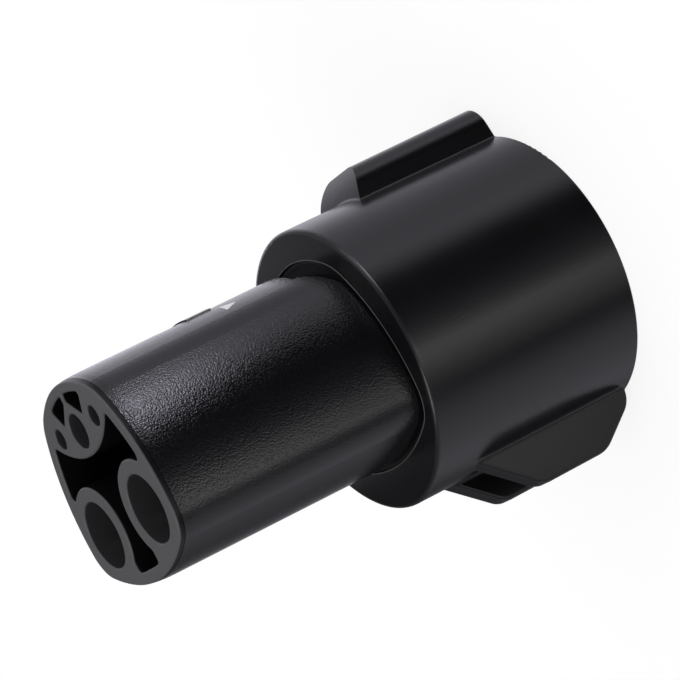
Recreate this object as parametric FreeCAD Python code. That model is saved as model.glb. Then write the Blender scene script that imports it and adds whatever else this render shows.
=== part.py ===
import FreeCAD, Part
import math
import os

from FreeCAD import Vector

# Plug adapter, sizes in mm. The axis stands along +Z: the open socket end rests on z = 0 and
# the nose, with its holes, points up. -Y is the latch side, which is up when plugged in.

# Rear housing
housing_height = 48.0
housing_wall = 2.7
housing_draft = 0.3
front_wall = 3.0
rear_rim_round = 0.4
front_rim_round = 0.9
recess_depth = 1.3
recess_margin = 0.8
recess_edge_round = 0.2

# Keel block on the +Y side of the housing
keel_half_width = 9.38
keel_side_lean = 0.96
keel_height = 5.72
keel_fall = 0.47
keel_flat_end = 29.25
keel_foot_end = 32.9
keel_foot_sink = 2.0
keel_edge_round = 4.8
keel_bulge = 0.47
keel_rear_z = 0.3
keel_rear_round = 0.3
keel_cove = 0.6

# Two latch guard ribs on the -Y side
guard_inner_x = 6.0
guard_outer_x = 10.3
guard_height = 7.44
guard_foot_sink = 2.0
guard_front_foot = 38.1
guard_front_corner = 26.6
guard_rear_corner = 10.95
guard_shoulder_height = 0.85
guard_shoulder_z = 1.25
guard_rear_foot = 1.3
guard_front_round = 4.2
guard_rear_round = 6.5
guard_shoulder_round = 5.0
guard_edge_round = 0.8
guard_cove = 1.2
guard_bearing = -90.0

# Latch catch between the guard ribs
catch_half_width = 4.6
catch_height = 2.6
catch_rear_z = 1.2
catch_front_z = 9.0
catch_ramp = 3.5
catch_toe = 0.5

# Contact layout, heights measured from the row of the two power contacts
power_row_y = -6.95
power_spacing = 24.0
pilot_spacing = 19.0
pilot_row = 19.0
ground_drop = 0.7

# Contacts, each from its recessed front sleeve to its rear pin
power_sizes = dict(mouth_r=6.6, recess=8.0, sleeve_r=6.1, bore_r=4.6, bore_depth=30.0,
                   pin_r=1.8, pin_length=25.5, band=True)
pilot_sizes = dict(mouth_r=1.95, recess=4.0, sleeve_r=1.7, bore_r=1.1, bore_depth=22.0,
                   pin_r=0.75, pin_length=20.5)
ground_sizes = dict(mouth_r=3.35, recess=5.0, sleeve_r=3.0, bore_r=2.1, bore_depth=28.0,
                    pin_r=1.4, pin_length=27.5)

# Nose outline, by its margins round the contact layout
nose_length = 52.6
flank_margin = 9.6
crown_margin = 8.45
sill_margin = 5.15
crown_arc_r = 25.0
flank_arc_r = 35.0
flank_arc_rise = 1.5
sill_arc_r = 40.0
crown_corner_r = 10.0
sill_corner_r = 6.7
nose_lead_length = 4.2
nose_lead = 0.41
nose_draft = 0.39

# Nose shell
shell_wall = 1.1
flange_thickness = 2.0
flange_margin = 2.6
flange_rim = 0.9
gasket_thickness = 0.5
collar_thickness = 0.7

# Lock recess on the crown side of the nose, and the low pad behind it
lock_width = 8.0
lock_length = 5.4
lock_depth = 2.6
lock_from_face = 21.2
lock_pad_width = 10.0
lock_pad_length = 5.4
lock_pad_height = 0.25

# Flared notch at the foot of the nose, on its crown side
notch_from_face = 46.4
notch_depth = 2.2
notch_half_width = 11.4
notch_flare_from_face = 47.4
notch_flare_half_width = 17.4

# Front contact core
face_plate = 1.3
face_round = 0.35
seam_bevel = 0.12
mouth_bevel = 0.3
core_length = 42.6
power_ring_wall = 2.95
pocket_inset = 2.3
pocket_depth = 30.0
pocket_floor_margin = 2.4
pocket_foot_margin = 6.7
pocket_round = 1.1
brow_arc_r = 22.5
brow_wall = 1.55
small_pocket_inset = 1.9
small_pocket_depth = 14.0
small_pocket_round = 0.6
small_pocket_rib = 1.1
small_pocket_reach = 8.3
small_pocket_low_x = 5.2
small_pocket_low_drop = 7.15
small_pocket_hub_drop = 3.45
small_pocket_side_drop = 2.85

# Socket insert
insert_recess = 0.9
insert_base = 8.0
insert_wall = 3.3
socket_r = 22.2
socket_lead_in = 0.8
plug_ring_gap = 2.6
collar_wall = 1.8
collar_setback = 6.0
key_width = 3.0
key_depth = 9.0
pin_boss_height = 2.0
pin_boss_wall = 1.3
plug_seal_thickness = 1.5
plug_seal_gap = 0.15

# Retaining plates and their screws
sleeve_plate = 3.0
pin_plate = 2.0
plate_margin = 0.3
screw_r = 1.2
screw_head_r = 2.1
screw_head_height = 1.5
screw_length = 8.0
screw_tip_room = 0.5
screw_socket_r = 0.8
screw_socket_depth = 0.8
pin_screw_x = 15.0
pin_screw_y = -1.2
sleeve_screw_y = -13.6
sleeve_screw_x = 3.5

# Links between rear pins and front sleeves
link_thickness = 5.0
link_wall = 1.6
link_bite = 2.2

# Contacts: front sleeves and rear pins
line_pin_x = 7.85
line_pin_y = -6.8
ground_pin_y = 10.6
pilot_pin_x = 10.65
pilot_pin_y = 5.6
pin_body_margin = 0.25
pin_tip_share = 0.6
shoulder_height = 3.0
shoulder_margin = 1.9
sleeve_shoulder_height = 2.0
sleeve_shoulder_margin = 0.8
sleeve_lip_share = 0.3
band_length = 6.0
band_rim = 0.9
band_slots = 12
band_thickness = 0.3
band_setback = 4.0
slot_width = 0.6

# Clearances
fit_gap = 0.05
slide_gap = 0.1
bond_gap = 0.1

# How far a cutting shape runs past the faces that it cuts
over = 1.0

# Derived outline of the nose and its pockets, heights from the power row
ground_row = pilot_row - ground_drop
nose_half_width = power_spacing / 2 + flank_margin
nose_crown = pilot_row + crown_margin
nose_sill = power_sizes["mouth_r"] + sill_margin
power_ring_r = power_sizes["mouth_r"] + power_ring_wall
pocket_floor_y = nose_sill - pocket_floor_margin
pocket_foot_half = power_spacing / 2 - pocket_foot_margin
brow_arc_y = ground_row - ground_sizes["mouth_r"] - brow_wall + brow_arc_r
small_pocket_low_y = nose_crown - small_pocket_low_drop
small_pocket_hub_y = nose_crown - small_pocket_hub_drop
small_pocket_side_y = nose_crown - small_pocket_side_drop
base_grow = nose_lead + nose_draft


def corner_centre(c1, r1, c2, r2, lowest):
    """Centre of a corner arc that touches two larger arcs from inside, on the +X side."""
    dx, dy = c2[0] - c1[0], c2[1] - c1[1]
    gap = math.hypot(dx, dy)
    along = (gap * gap + r1 * r1 - r2 * r2) / (2 * gap)
    across = math.sqrt(max(r1 * r1 - along * along, 0.0))
    mid = (c1[0] + dx * along / gap, c1[1] + dy * along / gap)
    pair = [(mid[0] + s * dy * across / gap, mid[1] - s * dx * across / gap) for s in (1, -1)]
    right = [p for p in pair if p[0] > 0] or pair
    return min(right, key=lambda p: p[1]) if lowest else max(right, key=lambda p: p[1])


# Derived arc centres of the nose outline, measured from the power row
crown_arc = (0.0, nose_crown - crown_arc_r)
flank_arc = (nose_half_width - flank_arc_r, flank_arc_rise)
sill_arc = (0.0, sill_arc_r - nose_sill)
crown_corner = corner_centre(crown_arc, crown_arc_r - crown_corner_r,
                             flank_arc, flank_arc_r - crown_corner_r, False)
sill_corner = corner_centre(flank_arc, flank_arc_r - sill_corner_r,
                            sill_arc, sill_arc_r - sill_corner_r, True)

# Derived radii, and places on the Y axis. The bore takes the plug socket and clears the foot of the nose.
nose_reach = math.hypot(sill_corner[0], sill_corner[1] + power_row_y) + sill_corner_r + base_grow
housing_bore_r = max(socket_r + insert_wall + bond_gap, nose_reach + flange_rim)
housing_front_r = housing_bore_r + housing_wall
housing_rear_r = housing_front_r + housing_draft
collar_outer_r = socket_r - plug_ring_gap
collar_inner_r = collar_outer_r - collar_wall
keel_top_y = housing_rear_r + keel_height
keel_root_y = housing_front_r - keel_foot_sink
guard_depth_y = housing_rear_r + guard_height
guard_root_y = housing_front_r - guard_foot_sink
guard_shoulder_y = housing_rear_r + guard_shoulder_height

# Derived heights
face_z = housing_height + nose_length
seam_z = face_z - face_plate
core_rear_z = face_z - core_length
wall_inner_z = housing_height - front_wall
flange_top_z = wall_inner_z - gasket_thickness
flange_base_z = flange_top_z - flange_thickness
socket_floor_z = flange_base_z - insert_base
link_top_z = core_rear_z - sleeve_plate
link_base_z = link_top_z - link_thickness
recess_floor_z = housing_height - recess_depth
shell_inset = -shell_wall
core_inset = shell_inset - fit_gap
notch_top_z = face_z - notch_from_face
notch_flare_z = face_z - notch_flare_from_face
notch_low_z = recess_floor_z + collar_thickness
link_ceiling_z = link_top_z - fit_gap


def contact(name, front, rear, mouth_r, recess, sleeve_r, bore_r, bore_depth, pin_r, pin_length,
            band=False):
    """One path through the adapter, from a rear pin to a front sleeve."""
    return dict(name=name, front=front, rear=rear, mouth_r=mouth_r, recess=recess,
                sleeve_r=sleeve_r, bore_r=bore_r, bore_depth=bore_depth,
                pin_r=pin_r, pin_length=pin_length, band=band)


def nose_y(y):
    """Height over the power row, turned into a place on the Y axis."""
    return power_row_y + y


contacts = [
    contact("line", (-power_spacing / 2, nose_y(0)), (-line_pin_x, line_pin_y), **power_sizes),
    contact("neutral", (power_spacing / 2, nose_y(0)), (line_pin_x, line_pin_y), **power_sizes),
    contact("ground", (0, nose_y(ground_row)), (0, ground_pin_y), **ground_sizes),
    contact("pilot", (pilot_spacing / 2, nose_y(pilot_row)), (pilot_pin_x, pilot_pin_y),
            **pilot_sizes),
    contact("proximity", (-pilot_spacing / 2, nose_y(pilot_row)), (-pilot_pin_x, pilot_pin_y),
            **pilot_sizes),
]


def cylinder(r, z0, z1, x=0.0, y=0.0):
    return Part.makeCylinder(r, z1 - z0, Vector(x, y, z0))


def box(x0, x1, y0, y1, z0, z1):
    return Part.makeBox(x1 - x0, y1 - y0, z1 - z0, Vector(x0, y0, z0))


def fuse(shapes):
    body = shapes[0]
    for shape in shapes[1:]:
        body = body.fuse(shape)
    return body.removeSplitter()


def cut(body, tools):
    for tool in tools:
        body = body.cut(tool)
    return body


def revolve(points):
    """Turns a closed profile of (radius, height) points about the Z axis."""
    wire = Part.makePolygon([Vector(r, 0, z) for r, z in points + points[:1]])
    return Part.Face(wire).revolve(Vector(0, 0, 0), Vector(0, 0, 1), 360)


def upright_edges(shape):
    """Edges that run parallel to the axis."""
    found = []
    for edge in shape.Edges:
        start, end = edge.Vertexes[0].Point, edge.Vertexes[-1].Point
        if abs(start.x - end.x) < 1e-6 and abs(start.y - end.y) < 1e-6 and abs(start.z - end.z) > 1e-3:
            found.append(edge)
    return found


def edges_at(shape, z):
    """Edges that lie in the level plane at z."""
    return [e for e in shape.Edges if abs(e.BoundBox.ZMin - z) < 1e-4 and abs(e.BoundBox.ZMax - z) < 1e-4]


def edges_across(shape, places):
    """Edges along X at the given (y, z) places."""
    return [e for e in shape.Edges for y, z in places
            if e.BoundBox.XLength > 1e-3 and math.hypot(e.CenterOfMass.y - y, e.CenterOfMass.z - z) < 1e-3]


def arc_through(centre, r, a, b, z):
    """Arc of radius r about centre from angle a to angle b, in degrees."""
    places = []
    for angle in (a, (a + b) / 2, b):
        t = math.radians(angle)
        places.append(Vector(centre[0] + r * math.cos(t), centre[1] + r * math.sin(t), z))
    return Part.Arc(*places).toShape()


def nose_wire(grow, z):
    """Outline of the nose: crown, flank and sill arcs with tangent corner arcs, grown evenly."""

    def bearing(a, b):
        return math.degrees(math.atan2(b[1] - a[1], b[0] - a[0]))

    sill_turn = bearing(sill_arc, sill_corner)
    flank_low = bearing(flank_arc, sill_corner)
    flank_high = bearing(flank_arc, crown_corner)
    crown_turn = bearing(crown_arc, crown_corner)

    def shifted(centre, side):
        return (side * centre[0], nose_y(centre[1]))

    def both(centre, r, a, b, side):
        if side > 0:
            return arc_through(shifted(centre, 1), r + grow, a, b, z)
        return arc_through(shifted(centre, -1), r + grow, 180 - b, 180 - a, z)

    edges = [
        arc_through(shifted(sill_arc, 1), sill_arc_r + grow, -180 - sill_turn, sill_turn, z),
        both(sill_corner, sill_corner_r, sill_turn, flank_low, 1),
        both(flank_arc, flank_arc_r, flank_low, flank_high, 1),
        both(crown_corner, crown_corner_r, flank_high, crown_turn, 1),
        arc_through(shifted(crown_arc, 1), crown_arc_r + grow, crown_turn, 180 - crown_turn, z),
        both(crown_corner, crown_corner_r, flank_high, crown_turn, -1),
        both(flank_arc, flank_arc_r, flank_low, flank_high, -1),
        both(sill_corner, sill_corner_r, sill_turn, flank_low, -1),
    ]
    return Part.Wire(edges)


def nose_prism(grow, z0, z1):
    return Part.Face(nose_wire(grow, z0)).extrude(Vector(0, 0, z1 - z0))


def grow_at(z):
    """How far the nose stands outside its face outline: a curved lead-in, then mould draft."""
    behind = face_z - z
    if behind < nose_lead_length:
        return nose_lead * (1 - (1 - behind / nose_lead_length) ** 2)
    return nose_lead + nose_draft * (behind - nose_lead_length) / (nose_length - nose_lead_length)


def drafted_nose(levels, extra=0.0):
    """Outside of the nose through the given levels, lowest first."""
    return Part.makeLoft([nose_wire(grow_at(z) + extra, z) for z in levels], True, True)


def keel():
    """Block with leaning sides, a rounded top that falls to the nose, and a ramp at its front end."""
    inner = housing_bore_r + bond_gap
    top_half_width = keel_half_width - keel_side_lean
    right = [(keel_half_width, inner), (keel_half_width, keel_root_y), (top_half_width, keel_top_y)]
    section = right + [(-x, y) for x, y in reversed(right)]
    wire = Part.makePolygon([Vector(x, y, keel_rear_z) for x, y in section + section[:1]])
    bar = Part.Face(wire).extrude(Vector(0, 0, keel_foot_end - keel_rear_z))
    above = keel_root_y + fit_gap
    bar = bar.makeFillet(keel_edge_round, [e for e in upright_edges(bar) if e.CenterOfMass.y > above])
    bar = bar.makeFillet(keel_rear_round, [e for e in edges_at(bar, keel_rear_z) if e.CenterOfMass.y > above])
    bar.rotate(Vector(0, keel_top_y, 0), Vector(1, 0, 0), math.degrees(math.atan2(keel_fall, keel_flat_end)))
    reach = keel_half_width * 2
    low = inner - over
    high = keel_top_y + keel_bulge
    foot = Vector(-reach, keel_root_y, keel_foot_end)
    crest = Vector(-reach, keel_top_y - keel_fall, keel_flat_end)
    chord = crest - foot
    out = Vector(0, -chord.z, chord.y).normalize()
    ramp = Part.Arc(foot, foot + chord * 0.5 + out * keel_bulge, crest).toShape()
    border = [crest, Vector(-reach, high, keel_flat_end), Vector(-reach, high, 0), Vector(-reach, low, 0),
              Vector(-reach, low, keel_foot_end), foot]
    sides = [Part.makeLine(a, b) for a, b in zip(border, border[1:])]
    return bar.common(Part.Face(Part.Wire([ramp] + sides)).extrude(Vector(reach * 2, 0, 0)))


def guard(side):
    """Latch guard: a thin rib along the housing, sloped at both ends, with rounded corners."""
    inner = -(housing_bore_r + bond_gap)
    x0 = guard_inner_x if side > 0 else -guard_outer_x
    front_corner = (-guard_depth_y, guard_front_corner)
    rear_corner = (-guard_depth_y, guard_rear_corner)
    shoulder = (-guard_shoulder_y, guard_shoulder_z)
    corners = [
        (inner, guard_front_foot),
        (-guard_root_y, guard_front_foot),
        front_corner,
        rear_corner,
        shoulder,
        (-guard_root_y, guard_rear_foot),
        (inner, guard_rear_foot),
    ]
    wire = Part.makePolygon([Vector(x0, y, z) for y, z in corners + corners[:1]])
    rib = Part.Face(wire).extrude(Vector(guard_outer_x - guard_inner_x, 0, 0))
    rib = rib.makeFillet(guard_front_round, edges_across(rib, [front_corner]))
    rib = rib.makeFillet(guard_rear_round, edges_across(rib, [rear_corner]))
    rib = rib.makeFillet(guard_shoulder_round, edges_across(rib, [shoulder]))
    rims = [e for e in rib.Edges if e.BoundBox.XLength < 1e-6 and e.CenterOfMass.y < -guard_root_y - fit_gap
            and e.BoundBox.YMin < -guard_root_y - fit_gap]
    return rib.makeFillet(guard_edge_round, rims)


def latch_catch():
    """Ridge that a plug's latch hooks over."""
    inner = -(housing_bore_r + bond_gap)
    top = -(housing_rear_r + catch_height)
    corners = [(inner, catch_rear_z), (-housing_rear_r + catch_toe, catch_rear_z),
               (top, catch_rear_z + catch_ramp), (top, catch_front_z), (inner, catch_front_z)]
    wire = Part.makePolygon([Vector(-catch_half_width, y, z) for y, z in corners + corners[:1]])
    return Part.Face(wire).extrude(Vector(catch_half_width * 2, 0, 0))


def root_edges(body, side):
    """Edges where the keel (side 1) or the guards (side -1) rise from the barrel.
    The straight edge and the circles on the barrel are its own."""
    found = []
    for edge in body.Edges:
        middle = edge.valueAt((edge.FirstParameter + edge.LastParameter) / 2)
        barrel_r = housing_rear_r + (housing_front_r - housing_rear_r) * middle.z / housing_height
        on_barrel = abs(math.hypot(middle.x, middle.y) - barrel_r) < 0.01
        own = isinstance(edge.Curve, (Part.Line, Part.Circle))
        if on_barrel and not own and middle.y * side > 0:
            found.append(edge)
    return found


def rear_housing():
    """Barrel with keel, guards and catch. The seam of its cone lies between the guards."""
    barrel = Part.makeCone(housing_rear_r, housing_front_r, housing_height)
    barrel = barrel.makeFillet(rear_rim_round, edges_at(barrel, 0.0))
    barrel = barrel.makeFillet(front_rim_round, edges_at(barrel, housing_height))
    barrel.rotate(Vector(0, 0, 0), Vector(0, 0, 1), guard_bearing)
    body = fuse([barrel, keel(), guard(1), guard(-1)])
    body = body.makeFillet(keel_cove, root_edges(body, 1))
    body = body.makeFillet(guard_cove, root_edges(body, -1))
    body = fuse([body, latch_catch()])
    body = cut(body, [
        cylinder(housing_bore_r, -over, wall_inner_z),
        nose_prism(base_grow + slide_gap, wall_inner_z - over, housing_height + over),
        nose_prism(base_grow + recess_margin, recess_floor_z, housing_height + over),
    ])
    mouth = [e for e in edges_at(body, housing_height)
             if math.hypot(e.Curve.Center.x, e.Curve.Center.y) > fit_gap]
    return body.makeFillet(recess_edge_round, mouth)


def nose_shell():
    lead = [face_z - nose_lead_length * step / 3 for step in (3, 2)]
    body = fuse([drafted_nose([flange_top_z] + lead + [seam_z]), lock_pad()])
    flange = nose_prism(base_grow + flange_margin, flange_base_z, flange_top_z)
    flange = flange.common(cylinder(housing_bore_r - slide_gap, flange_base_z, flange_top_z))
    body = fuse([body, flange])
    body = body.cut(nose_prism(shell_inset, flange_base_z - over, seam_z + over))
    lining = nose_prism(0.0, notch_low_z - shell_wall, link_ceiling_z)
    lining = lining.cut(nose_prism(base_grow - notch_depth - shell_wall, flange_base_z, face_z))
    lining = lining.common(notch_wedge(shell_wall, notch_low_z - shell_wall, link_ceiling_z))
    body = fuse([body, lining])
    notch = notch_wedge(0.0, notch_low_z, notch_top_z).cut(nose_prism(base_grow - notch_depth, 0.0, face_z))
    return cut(body, [notch, lock_slot(0.0)])


def notch_wedge(grow, low_z, top_z):
    """Block over the crown, flared towards the housing like the notch."""
    half = notch_half_width + grow
    wide = notch_flare_half_width + grow
    corners = [(half, top_z), (half, notch_flare_z), (wide, housing_height), (wide, low_z)]
    corners += [(-x, z) for x, z in reversed(corners)]
    wire = Part.makePolygon([Vector(x, 0, z) for x, z in corners + corners[:1]])
    return Part.Face(wire).extrude(Vector(0, housing_front_r, 0))


def lock_slot(gap):
    top = face_z - lock_from_face
    crown_y = nose_y(nose_crown)
    return box(-lock_width / 2 - gap, lock_width / 2 + gap, crown_y - lock_depth, housing_front_r,
               top - lock_length - gap, top + gap)


def lock_pad():
    """Low pad that follows the crown behind the lock recess."""
    top = face_z - lock_from_face - lock_length
    low = top - lock_pad_length
    pad = drafted_nose([low, top], lock_pad_height)
    window = box(-lock_pad_width / 2, lock_pad_width / 2, 0.0, housing_front_r, low, top)
    return pad.common(window)


def main_pocket():
    """Pocket between the ground boss and the two power rings, with a foot between the rings."""
    low = face_z - pocket_depth
    high = face_z + over
    body = nose_prism(-pocket_inset, low, high)
    ring_x = power_spacing / 2
    side = nose_half_width * 2
    tools = [
        cylinder(brow_arc_r, low - over, high + over, 0.0, nose_y(brow_arc_y)),
        cylinder(power_ring_r, low - over, high + over, ring_x, nose_y(0)),
        cylinder(power_ring_r, low - over, high + over, -ring_x, nose_y(0)),
        box(-side, side, nose_y(-side), nose_y(-pocket_floor_y), low - over, high + over),
        box(pocket_foot_half, side, nose_y(-side), nose_y(0), low - over, high + over),
        box(-side, -pocket_foot_half, nose_y(-side), nose_y(0), low - over, high + over),
    ]
    body = cut(body, tools)
    body = max(body.Solids, key=lambda s: s.Volume)
    return body.makeFillet(pocket_round, upright_edges(body))


def small_pocket(side):
    """Three-cornered pocket between the ground boss and the crown."""
    low = face_z - small_pocket_depth
    rib = small_pocket_rib / 2
    corners = [(rib, small_pocket_hub_y), (small_pocket_low_x, small_pocket_low_y),
               (small_pocket_reach, small_pocket_side_y), (small_pocket_reach, nose_crown), (rib, nose_crown)]
    wire = Part.makePolygon([Vector(side * x, nose_y(y), low) for x, y in corners + corners[:1]])
    wedge = Part.Face(wire).extrude(Vector(0, 0, small_pocket_depth + over))
    wedge = wedge.common(nose_prism(-small_pocket_inset, low, face_z + over))
    return wedge.makeFillet(small_pocket_round, upright_edges(wedge))


def contact_core():
    """Insulator with the face, the contact holes and the pockets."""
    plate = drafted_nose([seam_z, face_z])
    plate = plate.makeFillet(face_round, edges_at(plate, face_z))
    plate = plate.makeChamfer(seam_bevel, edges_at(plate, seam_z))
    rim = [e.CenterOfMass for e in edges_at(plate, face_z)]
    body = fuse([plate, nose_prism(core_inset, core_rear_z, seam_z)])
    body = cut(body, [main_pocket(), small_pocket(1), small_pocket(-1)])
    for c in contacts:
        x, y = c["front"]
        step_z = face_z - c["recess"]
        body = cut(body, [
            cylinder(c["mouth_r"], step_z, face_z + over, x, y),
            cylinder(c["sleeve_r"] + fit_gap, core_rear_z - over, step_z, x, y),
            cylinder(c["sleeve_r"] + sleeve_shoulder_margin + fit_gap, core_rear_z - over,
                     core_rear_z + sleeve_shoulder_height, x, y),
        ])
    mouths = [e for e in edges_at(body, face_z)
              if all(e.CenterOfMass.distanceToPoint(middle) > fit_gap for middle in rim)]
    body = body.makeChamfer(mouth_bevel, mouths)
    bottom = link_top_z + screw_head_height + screw_length + screw_tip_room
    holes = [cylinder(screw_r, core_rear_z - over, bottom, x, y) for x, y in sleeve_screw_places()]
    return cut(body, [lock_slot(slide_gap)] + holes)


def sleeve_screw_places():
    return [(-sleeve_screw_x, sleeve_screw_y), (sleeve_screw_x, sleeve_screw_y)]


def pin_screw_places():
    return [(-pin_screw_x, pin_screw_y), (pin_screw_x, pin_screw_y)]


def nose_collar():
    """Soft ring round the foot of the nose, down in the recess of the housing."""
    top_z = recess_floor_z + collar_thickness
    outer = nose_prism(base_grow + recess_margin - slide_gap, recess_floor_z, top_z)
    return outer.cut(nose_prism(base_grow + fit_gap, recess_floor_z - over, housing_height))


def flange_gasket():
    outer = nose_prism(base_grow + flange_margin - slide_gap, flange_top_z, wall_inner_z)
    outer = outer.common(cylinder(housing_bore_r - slide_gap, flange_top_z, wall_inner_z))
    return outer.cut(nose_prism(base_grow + fit_gap, flange_top_z - over, wall_inner_z + over))


def socket_insert():
    """Rear inlet: outer cup, floor and the inner collar that stands round the pins."""
    outer = housing_bore_r - bond_gap
    cup = revolve([
        (0.0, socket_floor_z), (collar_inner_r, socket_floor_z), (collar_inner_r, collar_setback),
        (collar_outer_r, collar_setback), (collar_outer_r, socket_floor_z), (socket_r, socket_floor_z),
        (socket_r, insert_recess + socket_lead_in), (socket_r + socket_lead_in, insert_recess),
        (outer, insert_recess), (outer, flange_base_z), (0.0, flange_base_z),
    ])
    bosses = []
    for c in contacts:
        x, y = c["rear"]
        bosses.append(cylinder(c["pin_r"] + pin_boss_wall, socket_floor_z - pin_boss_height,
                               socket_floor_z, x, y))
    body = fuse([cup] + bosses)
    middle = (collar_inner_r + collar_outer_r) / 2
    keys = [box(-key_width / 2, key_width / 2, s * middle - collar_wall, s * middle + collar_wall,
                collar_setback - over, collar_setback + key_depth) for s in (1, -1)]
    body = cut(body, keys)
    for c in contacts:
        x, y = c["rear"]
        body = cut(body, [
            cylinder(c["pin_r"] + pin_body_margin + fit_gap, socket_floor_z - pin_boss_height - over,
                     flange_base_z + over, x, y),
            cylinder(c["pin_r"] + shoulder_margin + fit_gap, flange_base_z - shoulder_height,
                     flange_base_z + over, x, y),
        ])
    bottom = flange_base_z + pin_plate - screw_length - screw_tip_room
    holes = [cylinder(screw_r, bottom, flange_base_z + over, x, y) for x, y in pin_screw_places()]
    return cut(body, holes)


def plug_seal():
    """Soft ring on the socket floor, between the collar and the outer wall."""
    low = socket_floor_z - plug_seal_thickness
    outer = cylinder(socket_r - plug_seal_gap, low, socket_floor_z)
    return outer.cut(cylinder(collar_outer_r + plug_seal_gap, low - over, socket_floor_z + over))


def rear_pin(c):
    """Turned pin: rounded tip, shaft, thicker body and shoulder in the insert, tail into its link."""
    x, y = c["rear"]
    r = c["pin_r"]
    tip_z = socket_floor_z - c["pin_length"]
    tail_z = link_base_z + link_bite
    shaft = cylinder(r, tip_z, tail_z, x, y)
    shaft = shaft.makeFillet(r * pin_tip_share, edges_at(shaft, tip_z))
    seat_z = flange_base_z - shoulder_height
    body = cylinder(r + pin_body_margin, socket_floor_z - pin_boss_height, seat_z, x, y)
    return fuse([shaft, body, cylinder(r + shoulder_margin, seat_z, flange_base_z, x, y)])


def front_sleeve(c):
    """Turned sleeve with a blind bore, a shoulder in the core and a tail into its link."""
    x, y = c["front"]
    r = c["sleeve_r"]
    mouth_z = face_z - c["recess"]
    body = fuse([
        cylinder(r, core_rear_z, mouth_z, x, y),
        cylinder(r + sleeve_shoulder_margin, core_rear_z, core_rear_z + sleeve_shoulder_height, x, y),
        cylinder(c["pin_r"], link_top_z - link_bite, core_rear_z, x, y),
    ])
    body = body.cut(cylinder(c["bore_r"], mouth_z - c["bore_depth"], mouth_z + over, x, y))
    return body.makeChamfer((r - c["bore_r"]) * sleeve_lip_share, edges_at(body, mouth_z))


def grooved_sleeve(c):
    """Power sleeve with the groove that holds its spring band."""
    x, y = c["front"]
    top = face_z - c["recess"] - band_setback
    return front_sleeve(c).cut(cylinder(c["bore_r"] + band_thickness, top - band_length, top, x, y))


def contact_band(c):
    """Slotted spring band that lines the bore of a power sleeve."""
    x, y = c["front"]
    top = face_z - c["recess"] - band_setback
    low = top - band_length
    ring = cylinder(c["bore_r"] + band_thickness - fit_gap / 2, low, top, x, y)
    ring = ring.cut(cylinder(c["bore_r"], low - over, top + over, x, y))
    slot = box(c["bore_r"] - over, c["bore_r"] + over, -slot_width / 2, slot_width / 2,
               low + band_rim, top - band_rim)
    slot.translate(Vector(x, y, 0))
    slots = []
    for i in range(band_slots):
        turned = slot.copy()
        turned.rotate(Vector(x, y, 0), Vector(0, 0, 1), 360 * i / band_slots)
        slots.append(turned)
    return cut(ring, slots)


def link(c):
    """Bar that joins a rear pin's tail to the tail of its front sleeve."""
    (x0, y0), (x1, y1) = c["rear"], c["front"]
    r = c["pin_r"] + link_wall
    body = cylinder(r, link_base_z, link_top_z, x0, y0).fuse(cylinder(r, link_base_z, link_top_z, x1, y1))
    along = Vector(x1 - x0, y1 - y0, 0)
    if along.Length > 1e-6:
        across = Vector(-along.y, along.x, 0).normalize() * r
        a, b = Vector(x0, y0, link_base_z), Vector(x1, y1, link_base_z)
        web = Part.Face(Part.makePolygon([a - across, b - across, b + across, a + across, a - across]))
        body = body.fuse(web.extrude(Vector(0, 0, link_thickness)))
    body = body.removeSplitter()
    return cut(body, [
        cylinder(c["pin_r"] + fit_gap, link_base_z - over, link_base_z + link_bite, x0, y0),
        cylinder(c["pin_r"] + fit_gap, link_top_z - link_bite, link_top_z + over, x1, y1),
    ])


def sleeve_retainer():
    """Plate behind the core that keeps the sleeves in."""
    plate = nose_prism(core_inset - plate_margin, link_top_z, core_rear_z)
    low, high = link_top_z - over, core_rear_z + over
    holes = [cylinder(c["pin_r"] + fit_gap, low, high, *c["front"]) for c in contacts]
    for x, y in sleeve_screw_places():
        holes.append(cylinder(screw_r + slide_gap, low, high, x, y))
        holes.append(cylinder(screw_head_r + slide_gap, low, link_top_z + screw_head_height, x, y))
    return cut(plate, holes)


def pin_retainer():
    """Plate on the socket insert that keeps the rear pins in."""
    plate = nose_prism(core_inset - plate_margin, flange_base_z, flange_base_z + pin_plate)
    low, high = flange_base_z - over, flange_base_z + pin_plate + over
    holes = [cylinder(c["pin_r"] + fit_gap, low, high, *c["rear"]) for c in contacts]
    holes += [cylinder(screw_r + slide_gap, low, high, x, y) for x, y in pin_screw_places()]
    return cut(plate, holes)


def screw(x, y, seat_z, up):
    """Socket-head screw whose head sits at seat_z, with its shank along up."""
    head_low = seat_z - screw_head_height if up > 0 else seat_z
    shank = (seat_z, seat_z + screw_length) if up > 0 else (seat_z - screw_length, seat_z)
    body = fuse([
        cylinder(screw_r - fit_gap, shank[0], shank[1], x, y),
        cylinder(screw_head_r, head_low, head_low + screw_head_height, x, y),
    ])
    mouth = head_low if up > 0 else head_low + screw_head_height
    hexagon = [Vector(x + screw_socket_r * math.cos(math.radians(60 * i)),
                      y + screw_socket_r * math.sin(math.radians(60 * i)), mouth) for i in range(7)]
    key = Part.Face(Part.makePolygon(hexagon)).extrude(Vector(0, 0, up * screw_socket_depth))
    return body.cut(key)


def save(name, shape):
    solids = shape.Solids
    if len(solids) != 1 or not shape.isValid():
        print("CHECK", name, "solids", len(solids), "valid", shape.isValid())
    result = solids[0] if len(solids) == 1 else shape
    result.exportStep("parts/" + name + ".step")
    print(name, round(result.Volume, 2))


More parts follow.
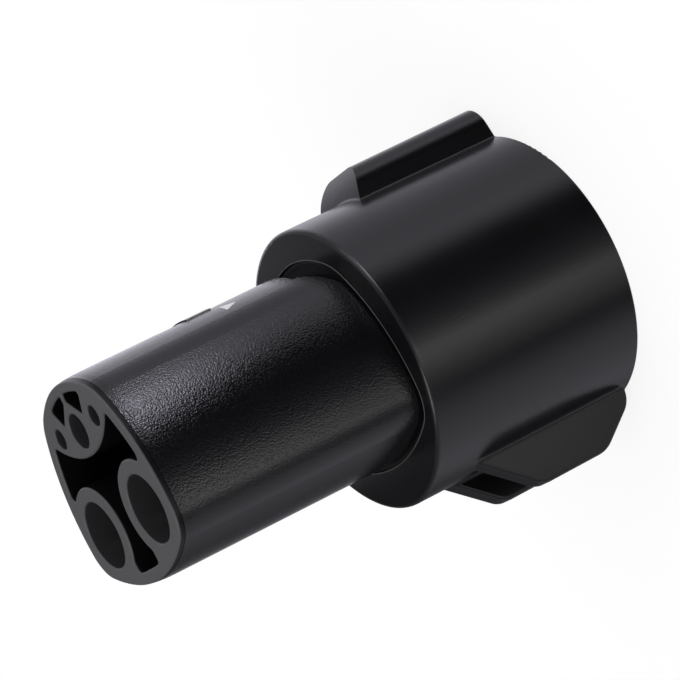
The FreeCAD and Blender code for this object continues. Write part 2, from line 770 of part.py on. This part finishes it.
os.makedirs("parts", exist_ok=True)
save("rear_housing", rear_housing())
save("nose_shell", nose_shell())
save("contact_core", contact_core())
save("nose_collar", nose_collar())
save("flange_gasket", flange_gasket())
save("socket_insert", socket_insert())
save("plug_seal", plug_seal())
save("sleeve_retainer", sleeve_retainer())
save("pin_retainer", pin_retainer())
for c in contacts:
    save(c["name"] + "_pin", rear_pin(c))
    save(c["name"] + "_sleeve", grooved_sleeve(c) if c["band"] else front_sleeve(c))
    save(c["name"] + "_link", link(c))
    if c["band"]:
        save(c["name"] + "_contact_band", contact_band(c))
for i, (x, y) in enumerate(sleeve_screw_places()):
    save("sleeve_plate_screw_%d" % (i + 1), screw(x, y, link_top_z + screw_head_height, 1))
for i, (x, y) in enumerate(pin_screw_places()):
    save("pin_plate_screw_%d" % (i + 1), screw(x, y, flange_base_z + pin_plate, -1))
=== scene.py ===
import math

import bpy
from mathutils import Matrix, Vector
from mathutils.bvhtree import BVHTree


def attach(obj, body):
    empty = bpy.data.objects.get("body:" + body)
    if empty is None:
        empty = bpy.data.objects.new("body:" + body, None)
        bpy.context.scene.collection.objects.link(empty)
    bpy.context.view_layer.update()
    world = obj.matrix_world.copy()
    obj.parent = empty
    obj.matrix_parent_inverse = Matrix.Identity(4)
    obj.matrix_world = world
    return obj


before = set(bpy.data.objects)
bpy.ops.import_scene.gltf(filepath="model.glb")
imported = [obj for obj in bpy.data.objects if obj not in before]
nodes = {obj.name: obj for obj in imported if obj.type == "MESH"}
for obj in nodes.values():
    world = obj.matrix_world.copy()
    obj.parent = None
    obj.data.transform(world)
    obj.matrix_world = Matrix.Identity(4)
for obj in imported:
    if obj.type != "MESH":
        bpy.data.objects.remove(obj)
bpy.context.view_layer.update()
scene = bpy.context.scene

# Metres in a millimetre. Places and sizes below are in millimetres unless said otherwise.
MM = 0.001

# Camera at the photograph's viewing angle
CAMERA_PLACE = Vector((482.154, -21.388, 295.104)) * MM
CAMERA_AXES = ((0.387258, 0.251791, 0.886923),
               (-0.462291, 0.885346, -0.049493),
               (-0.797696, -0.390850, 0.459258))
CAMERA_LENS = 153.91
CAMERA_SENSOR = 36.0
CAMERA_NEAREST = 20.0

# Tints and greys, as linear colours
COOL = (0.98, 0.96, 1.07)
WARM = (1.03, 0.985, 1.0)
VIOLET = (0.985, 0.95, 1.11)
WHITE = (1.0, 1.0, 1.0)
BLACK = (0.0038, 0.0038, 0.0045)
FACE_GREY = (0.080, 0.080, 0.085)
# Painted light: lighter grey for the walls of the holes in the face, so they look lit inside
BORE_PAINTED_LIGHT = (0.028, 0.028, 0.030)
# Painted light: lighter grey for the upright sides of the low pad on the nose
PAD_PAINTED_LIGHT = (0.20, 0.20, 0.205)

# How bright the studio looks in a gloss, by compass angle in degrees: below and above the horizon.
# Angles in the warm span have the warm tint.
STUDIO_LOW = (
    (-180, 0.60), (-170, 0.18), (-160, 0.09), (-148, 0.08), (-137, 0.16), (-125, 0.38), (-112, 0.56),
    (-90, 0.60), (-72, 0.56), (-60, 0.33), (-47, 0.06), (-38, 0.44), (-25, 0.68), (-10, 0.34),
    (3, 0.20), (14, 0.07), (24, 0.02), (38, 0.01), (45, 0.04), (55, 0.62), (63, 0.96), (74, 0.68),
    (90, 0.51), (105, 0.52), (118, 0.61), (130, 0.82), (143, 1.08), (158, 0.86), (180, 0.45),
)
STUDIO_HIGH = (
    (-180, 0.03), (-165, 0.05), (-140, 0.20), (-90, 0.40), (-40, 0.25), (40, 0.25), (90, 0.35),
    (125, 0.45), (152, 0.50), (166, 0.15), (180, 0.03),
)
WARM_SPAN = (-38, -10)
STUDIO_PEAK = 1.3
HORIZON = (0.06, 0.26)
WORLD_LIGHT = 0.75

# Floor: half its side, how far it lies under the object, its grey, and how much of it is plain white to
# the camera
FLOOR_HALF = 4000.0
FLOOR_SINK = 0.02
FLOOR_GREY = 0.9
FLOOR_WHITE = 1.06
FLOOR_WHITE_SHARE = 0.78

LAMP_TARGET = Vector((0, 0, 0.05))

# Pebble grain of the moulded plastic, in shares of a pebble
GRAIN_WARP = 0.7
GRAIN_WARP_SCALE = 0.9
GRAIN_SOFTNESS = 0.3
FINE_SCALE = 2.6
FINE_SHARE = 0.12

# Places on the nose and on the housing
FACE_Z = 100.6
FACE_SPAN = (FACE_Z - 0.6, FACE_Z - 0.1)
FOOT_SPAN = (47.5, 47.9)
PAD_LOW_Y = 18.5
WALL_Z = 48.0

# Holes of the face: x, y and radius
BORES = ((-12.0, -6.95, 6.6), (12.0, -6.95, 6.6), (0.0, 11.35, 3.35), (9.5, 12.05, 1.95),
         (-9.5, 12.05, 1.95))
BORE_MARGIN = 0.1

# Direction mark on the crown: its corners as x and z, how finely it is divided, and how far it stands
# above and reaches below the surface
MARK_CORNERS = ((7.0, 68.0), (10.7, 68.4), (8.8, 65.2))
MARK_STEPS = 14
MARK_PROUD = 0.02
MARK_SUNK = 0.03
MARK_START_Y = 40.0

# Bead round the recess: its divisions and radius, how far it lies out from the wall of the recess and
# below the front wall, and how far down the wall of the recess is measured
BEAD_STEPS = 360
BEAD_SIDES = 8
BEAD_R = 0.09
BEAD_OUT = 0.08
BEAD_SINK = 0.03
BEAD_REACH_DOWN = 0.3


def solid(colour):
    """Colour with full alpha."""
    return (*colour, 1.0)


def shaded(colour, share):
    return solid(c * share for c in colour)


def new_object(name, verts, faces):
    mesh = bpy.data.meshes.new(name)
    mesh.from_pydata(verts, [], faces)
    mesh.update()
    made = bpy.data.objects.new(name, mesh)
    scene.collection.objects.link(made)
    return made


class Nodes:
    """Short way to build a node tree."""

    def __init__(self, tree):
        self.tree = tree
        tree.nodes.clear()

    def put(self, socket, value):
        if isinstance(value, bpy.types.NodeSocket):
            self.tree.links.new(value, socket)
        else:
            socket.default_value = value

    def add(self, kind, inputs=None, **settings):
        node = self.tree.nodes.new(kind)
        for key, value in settings.items():
            setattr(node, key, value)
        for key, value in (inputs or {}).items():
            self.put(node.inputs[key], value)
        return node

    def math(self, operation, *values):
        inputs = dict(enumerate(values))
        return self.add("ShaderNodeMath", inputs, operation=operation).outputs[0]

    def vector(self, operation, a, b=None, scale=None):
        inputs = {0: a}
        if b is not None:
            inputs[1] = b
        if scale is not None:
            inputs["Scale"] = scale
        return self.add("ShaderNodeVectorMath", inputs, operation=operation)

    def parts(self, vector):
        """X, Y and Z of a vector."""
        return self.add("ShaderNodeSeparateXYZ", {0: vector}).outputs

    def place(self):
        """Place on the object, in metres."""
        return self.add("ShaderNodeTexCoord").outputs["Object"]

    def noise(self, place, scale, detail, output="Fac"):
        inputs = {"Vector": place, "Scale": scale, "Detail": detail}
        return self.add("ShaderNodeTexNoise", inputs).outputs[output]

    def smooth(self, value, low, high):
        """0 below low, 1 above high, smooth between."""
        inputs = {"Value": value, "From Min": low, "From Max": high}
        return self.add("ShaderNodeMapRange", inputs, interpolation_type="SMOOTHSTEP").outputs["Result"]

    def mix(self, factor, a, b):
        node = self.add("ShaderNodeMix", data_type="RGBA")
        for key, value in ((0, factor), (6, a), (7, b)):
            self.put(node.inputs[key], value)
        return node.outputs[2]

    def ramp(self, factor, stops):
        """Colour that changes evenly between stops of place and colour."""
        node = self.add("ShaderNodeValToRGB", {"Fac": factor})
        elements = node.color_ramp.elements
        while len(elements) < len(stops):
            elements.new(1.0)
        for element, (place, colour) in zip(elements, stops):
            element.position = place
            element.color = colour
        return node.outputs["Color"]

    def plastic(self, colour, roughness, height, depth, strength=1.0, **shader_inputs):
        """Shader with a bump of the given depth in millimetres, as the material's surface."""
        bump = self.add("ShaderNodeBump", {"Height": height, "Distance": depth * MM, "Strength": strength})
        inputs = {"Base Color": colour, "Roughness": roughness, "Normal": bump.outputs[0], **shader_inputs}
        self.surface(self.add("ShaderNodeBsdfPrincipled", inputs))

    def surface(self, shader):
        self.add("ShaderNodeOutputMaterial", {"Surface": shader.outputs[0]})


def new_material(name):
    material = bpy.data.materials.new(name)
    material.use_nodes = True
    return material, Nodes(material.node_tree)


def place_camera():
    data = bpy.data.cameras.new("camera")
    data.sensor_width = CAMERA_SENSOR
    data.lens = CAMERA_LENS
    data.clip_start = CAMERA_NEAREST * MM
    camera = bpy.data.objects.new("camera", data)
    scene.collection.objects.link(camera)
    turn = Matrix(CAMERA_AXES).to_4x4()
    camera.matrix_world = Matrix.Translation(CAMERA_PLACE) @ turn
    bpy.context.scene.camera = camera


def studio_ring(n, compass, table):
    """Brightness round the compass as a vector, from a table of angle and level."""
    stops = []
    for angle, level in table:
        tint = WARM if WARM_SPAN[0] <= angle <= WARM_SPAN[1] else COOL
        stops.append(((angle + 180) / 360, solid(level * c / STUDIO_PEAK for c in tint)))
    return n.vector("SCALE", n.ramp(compass, stops), scale=STUDIO_PEAK).outputs[0]


def studio_world():
    """White to the camera, a soft studio in the glosses, and even light elsewhere."""
    world = bpy.data.worlds.new("studio")
    scene.world = world
    world.use_nodes = True
    n = Nodes(world.node_tree)
    x, y, z = n.parts(n.add("ShaderNodeTexCoord").outputs["Generated"])
    compass = n.math("ADD", n.math("DIVIDE", n.math("ARCTAN2", y, x), 2 * math.pi), 0.5)
    low = studio_ring(n, compass, STUDIO_LOW)
    high = studio_ring(n, compass, STUDIO_HIGH)
    seen = n.mix(n.smooth(z, *HORIZON), low, high)
    path = n.add("ShaderNodeLightPath").outputs
    light = n.mix(path["Is Glossy Ray"], shaded(WHITE, WORLD_LIGHT), seen)
    clear = n.math("MAXIMUM", path["Is Camera Ray"], path["Is Transmission Ray"])
    colour = n.mix(clear, light, solid(WHITE))
    back = n.add("ShaderNodeBackground", {"Color": colour, "Strength": 1.0})
    n.add("ShaderNodeOutputWorld", {"Surface": back.outputs[0]})


def studio_floor():
    """Pale floor that shows from above only, and not in the glosses of the object."""
    half = FLOOR_HALF * MM
    corners = [(-half, -half, 0), (half, -half, 0), (half, half, 0), (-half, half, 0)]
    floor = new_object("floor", corners, [(0, 1, 2, 3)])
    floor.location.z = -FLOOR_SINK * MM
    floor.visible_glossy = False
    material, n = new_material("floor_white")
    matt = n.add("ShaderNodeBsdfDiffuse", {"Color": shaded(WHITE, FLOOR_GREY)})
    white = n.add("ShaderNodeEmission", {"Color": solid(WHITE), "Strength": FLOOR_WHITE})
    path = n.add("ShaderNodeLightPath").outputs
    share = n.math("MULTIPLY", path["Is Camera Ray"], FLOOR_WHITE_SHARE)
    above = n.add("ShaderNodeMixShader", {0: share, 1: matt.outputs[0], 2: white.outputs[0]})
    under = n.add("ShaderNodeNewGeometry").outputs["Backfacing"]
    clear = n.add("ShaderNodeBsdfTransparent")
    n.surface(n.add("ShaderNodeMixShader", {0: under, 1: above.outputs[0], 2: clear.outputs[0]}))
    floor.data.materials.append(material)


def studio_card(name, centre, bearing, size, tint, level, spread, fall, lean=0.0):
    """Upright card that only glosses show: a soft glow added to what lies behind. bearing is the compass
    angle that it faces away from, size half its width and height, spread the half width of the glow, fall
    how fast it fades up and down, and lean its slant."""
    half_width, half_height = (length * MM for length in size)
    corners = [(-half_width, 0, -half_height), (half_width, 0, -half_height),
               (half_width, 0, half_height), (-half_width, 0, half_height)]
    card = new_object(name, corners, [(0, 1, 2, 3)])
    card.location = Vector(centre) * MM
    card.rotation_euler = (0, 0, math.radians(bearing - 90))
    card.visible_camera = False
    card.visible_diffuse = False
    card.visible_shadow = False
    card.visible_transmission = False
    material, n = new_material(name)
    width, _, height = n.parts(n.place())
    across = n.math("DIVIDE", n.math("MULTIPLY_ADD", height, -lean, width), spread * MM)
    along = n.math("DIVIDE", n.math("ABSOLUTE", height), fall * MM)
    far = n.math("MULTIPLY_ADD", across, across, along)
    fade = n.math("POWER", math.e, n.math("MULTIPLY", far, -1.0))
    light = n.add("ShaderNodeEmission", {"Color": solid(tint), "Strength": n.math("MULTIPLY", fade, level)})
    clear = n.add("ShaderNodeBsdfTransparent")
    n.surface(n.add("ShaderNodeAddShader", {0: light.outputs[0], 1: clear.outputs[0]}))
    card.data.materials.append(material)


def lamp(name, place, size, power):
    """Round soft lamp that faces the object: place and size in metres, power in watts."""
    data = bpy.data.lights.new(name, "AREA")
    data.shape = "DISK"
    data.size = size
    data.energy = power
    light = bpy.data.objects.new(name, data)
    scene.collection.objects.link(light)
    light.location = place
    light.rotation_euler = (LAMP_TARGET - Vector(place)).to_track_quat("-Z", "Y").to_euler()


def moulded(name, base, rough, grain=0.5, depth=0.02, rough_spread=0.06, finish=None):
    """Moulded plastic: fine pebble grain, faint tone and gloss variation. grain is the size of a pebble and
    depth its height. finish changes the look by place."""
    material, n = new_material(name)
    place = n.place()
    scale = 1.0 / (grain * MM)
    warp = n.noise(place, scale * GRAIN_WARP_SCALE, 1.0, "Color")
    bent = n.vector("SCALE", warp, scale=grain * MM * GRAIN_WARP).outputs[0]
    moved = n.vector("ADD", place, bent).outputs[0]
    cells = n.add("ShaderNodeTexVoronoi", {"Vector": moved, "Scale": scale, "Smoothness": GRAIN_SOFTNESS},
                  feature="SMOOTH_F1").outputs["Distance"]
    fine = n.noise(place, scale * FINE_SCALE, 2.0)
    height = n.math("ADD", n.math("MULTIPLY", cells, -1.0), n.math("MULTIPLY", fine, FINE_SHARE))
    cloud = n.noise(place, 90.0, 3.0)
    look = {
        "colour": n.mix(cloud, shaded(base, 0.8), shaded(base, 1.25)),
        "roughness": n.math("MULTIPLY_ADD", cloud, rough_spread, rough - rough_spread / 2),
        "strength": 1.0,
        "gloss": 0.5,
    }
    if finish:
        finish(n, place, look)
    n.plastic(look["colour"], look["roughness"], height, depth, look["strength"],
              **{"Specular IOR Level": look["gloss"]})
    return material


def core_finish(n, place, look):
    """Matt grey face, dark pockets behind it, and holes whose walls carry painted light: a lighter grey that
    makes them look lit.
    """
    top = n.smooth(n.parts(place)[2], *(z * MM for z in FACE_SPAN))
    look["roughness"] = n.math("ADD", look["roughness"], n.math("MULTIPLY", top, 0.2))
    look["strength"] = n.math("MULTIPLY_ADD", top, 0.6, 0.4)
    look["gloss"] = n.math("MULTIPLY_ADD", top, 0.3, 0.2)
    colour = n.mix(top, look["colour"], solid(FACE_GREY))
    # Painted light: inside each hole the black core is given a lighter grey, in place of the light seen on
    # the bore walls
    for x, y, radius in BORES:
        flat = n.vector("MULTIPLY", place, (1.0, 1.0, 0.0)).outputs[0]
        apart = n.vector("DISTANCE", flat, (x * MM, y * MM, 0.0)).outputs["Value"]
        bore_painted_light_mask = n.math("LESS_THAN", apart, (radius + BORE_MARGIN) * MM)
        colour = n.mix(bore_painted_light_mask, colour, solid(BORE_PAINTED_LIGHT))
    look["colour"] = colour


def nose_finish(n, place, look):
    """Sides of the low pad behind the lock recess painted a lighter grey, as painted light where they would
    show dark, and a dull foot down in the housing.
    """
    normal = n.add("ShaderNodeNewGeometry").outputs["Normal"]
    sideways = n.math("GREATER_THAN", n.math("ABSOLUTE", n.parts(normal)[0]), 0.8)
    high = n.math("GREATER_THAN", n.parts(place)[1], PAD_LOW_Y * MM)
    # Painted light: upright faces of the pad above PAD_LOW_Y get a lighter grey in place of the light they
    # would catch
    look["colour"] = n.mix(n.math("MULTIPLY", high, sideways), look["colour"], solid(PAD_PAINTED_LIGHT))
    above = n.smooth(n.parts(place)[2], *(z * MM for z in FOOT_SPAN))
    look["gloss"] = n.math("MULTIPLY_ADD", above, 0.4, 0.1)
    look["roughness"] = n.math("MULTIPLY_ADD", n.math("SUBTRACT", 1.0, above), 0.4, look["roughness"])


def metal(name, base, rough, turned):
    """Turned or rolled metal, with fine rings round Z when turned."""
    material, n = new_material(name)
    place = n.place()
    stretch = (150.0, 150.0, 9000.0) if turned else (6000.0, 500.0, 6000.0)
    marks = n.noise(n.vector("MULTIPLY", place, stretch).outputs[0], 1.0, 2.0)
    colour = n.mix(n.noise(place, 260.0, 3.0), shaded(base, 0.78), solid(base))
    roughness = n.math("MULTIPLY_ADD", marks, 0.16, rough - 0.08)
    n.plastic(colour, roughness, marks, depth=0.004, Metallic=1.0)
    return material


def paint(name, base):
    """Printed paint with a faint speckle."""
    material, n = new_material(name)
    speck = n.noise(n.place(), 2500.0, 2.0)
    n.plastic(n.mix(speck, shaded(base, 0.85), solid(base)), 0.5, speck, depth=0.01)
    return material


def dress(names, material):
    for name in names:
        slots = nodes[name].data.materials
        for i in range(len(slots)):
            slots[i] = material


def nodes_ending(kind):
    return sorted(name for name in nodes if name.endswith("_" + kind))


def surface_tree(name):
    """Search tree of a node's surface, for casting rays at it."""
    mesh = nodes[name].data
    return BVHTree.FromPolygons([v.co for v in mesh.vertices], [p.vertices for p in mesh.polygons])


def direction_mark():
    """Filled triangle printed on the crown of the nose, pointing at the housing."""
    tree = surface_tree("nose_shell")
    corners = [Vector((x, z)) * MM for x, z in MARK_CORNERS]
    hits, index = [], {}
    for i in range(MARK_STEPS + 1):
        for j in range(MARK_STEPS + 1 - i):
            a, b = i / MARK_STEPS, j / MARK_STEPS
            flat = corners[0] * (1 - a - b) + corners[1] * a + corners[2] * b
            start = Vector((flat.x, MARK_START_Y * MM, flat.y))
            index[i, j] = len(hits)
            hits.append(tree.ray_cast(start, Vector((0, -1, 0)))[:2])
    top = [hit + normal * MARK_PROUD * MM for hit, normal in hits]
    low = [hit - normal * MARK_SUNK * MM for hit, normal in hits]
    count = len(top)
    faces = []
    for i in range(MARK_STEPS):
        for j in range(MARK_STEPS - i):
            a, b, c = index[i, j], index[i + 1, j], index[i, j + 1]
            faces += [(a, b, c), (a + count, c + count, b + count)]
            if j < MARK_STEPS - i - 1:
                d = index[i + 1, j + 1]
                faces += [(b, d, c), (b + count, c + count, d + count)]
    rim = ([index[i, 0] for i in range(MARK_STEPS)] +
           [index[MARK_STEPS - j, j] for j in range(MARK_STEPS)] +
           [index[0, MARK_STEPS - j] for j in range(MARK_STEPS)])
    for a, b in zip(rim, rim[1:] + rim[:1]):
        faces.append((b, a, a + count, b + count))
    mark = new_object("direction_mark", [tuple(v) for v in top + low], faces)
    mark.data.materials.append(paint("mark_white", (0.82, 0.82, 0.82)))
    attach(mark, "root")


def recess_highlight_bead():
    """Hair-thin grey bead along the edge of the recess in the front wall of the housing, round the foot of
    the nose: a painted highlight on that edge.
    """
    tree = surface_tree("rear_housing")
    start = Vector((0, 0, WALL_Z - BEAD_REACH_DOWN)) * MM
    verts = []
    for i in range(BEAD_STEPS):
        turn = 2 * math.pi * i / BEAD_STEPS
        out = Vector((math.cos(turn), math.sin(turn), 0))
        reach = tree.ray_cast(start, out)[0].xy.length
        for j in range(BEAD_SIDES):
            lean = 2 * math.pi * j / BEAD_SIDES
            wide = reach + (BEAD_OUT + BEAD_R * math.cos(lean)) * MM
            verts.append((out.x * wide, out.y * wide, (WALL_Z - BEAD_SINK + BEAD_R * math.sin(lean)) * MM))
    count = BEAD_STEPS * BEAD_SIDES
    faces = []
    for i in range(BEAD_STEPS):
        for j in range(BEAD_SIDES):
            a, b = i * BEAD_SIDES + j, i * BEAD_SIDES + (j + 1) % BEAD_SIDES
            faces.append((a, (a + BEAD_SIDES) % count, (b + BEAD_SIDES) % count, b))
    bead = new_object("recess_highlight_bead", verts, faces)
    for face in bead.data.polygons:
        face.use_smooth = True
    # Painted highlight: the bead is far lighter than the black housing, standing in for light caught on the
    # edge of the recess
    bead.data.materials.append(moulded("bead_painted_highlight", (0.09, 0.09, 0.095), rough=0.30, grain=0.4, depth=0.004))
    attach(bead, "root")


place_camera()
studio_world()
studio_floor()
studio_card("edge_glow", (79, 87, 61), 47, (100, 90), VIOLET, 11.3, spread=20, fall=9.5, lean=0.60)
studio_card("ridge_glow", (110, -28, 58), -12, (100, 160), WARM, 1.35, spread=18, fall=65)
studio_card("side_glow", (60, -65, 70), -51, (60, 100), COOL, 0.32, spread=15, fall=35)
studio_card("flank_glow", (18, 90, 62), 98, (90, 140), COOL, 0.20, spread=30, fall=70)
studio_card("guard_glow", (118, -28, -36), 3, (30, 70), WARM, 0.36, spread=11, fall=40)
studio_card("wall_glow", (-60, 34, 58), 180, (50, 100), COOL, 0.36, spread=14, fall=30)
studio_card("low_glow", (-60, -11, 67), 180, (30, 60), WARM, 0.8, spread=6, fall=13)
lamp("key", (0.35, -0.55, 0.85), size=0.6, power=2.0)
lamp("fill", (0.25, 0.75, 0.60), size=0.7, power=1.2)

dress(["rear_housing"], moulded("housing_black", BLACK, rough=0.22, grain=0.40, depth=0.012))
dress(["nose_shell"], moulded("nose_black", BLACK, rough=0.08, grain=0.34, depth=0.042, finish=nose_finish))
dress(["contact_core"], moulded("core_black", BLACK, rough=0.30, grain=0.30, depth=0.010, finish=core_finish))
dress(["socket_insert"], moulded("insert_black", (0.012, 0.012, 0.013), rough=0.38, grain=0.4, depth=0.008))
dress(["sleeve_retainer", "pin_retainer"], moulded("plate_grey", (0.05, 0.05, 0.055), rough=0.45))
dress(["nose_collar", "flange_gasket", "plug_seal"],
      moulded("soft_black", (0.010, 0.010, 0.010), rough=0.62, grain=0.25, depth=0.01, rough_spread=0.1))
dress(nodes_ending("pin") + nodes_ending("sleeve"), metal("silver_plate", (0.86, 0.85, 0.82), 0.24, True))
dress(nodes_ending("contact_band"), metal("spring_bronze", (0.80, 0.56, 0.36), 0.30, False))
dress(nodes_ending("link"), metal("link_copper", (0.86, 0.46, 0.31), 0.34, False))
dress([name for name in nodes if "_screw_" in name], metal("screw_steel", (0.62, 0.62, 0.64), 0.30, True))
recess_highlight_bead()
direction_mark()

scene.view_settings.view_transform = "Standard"
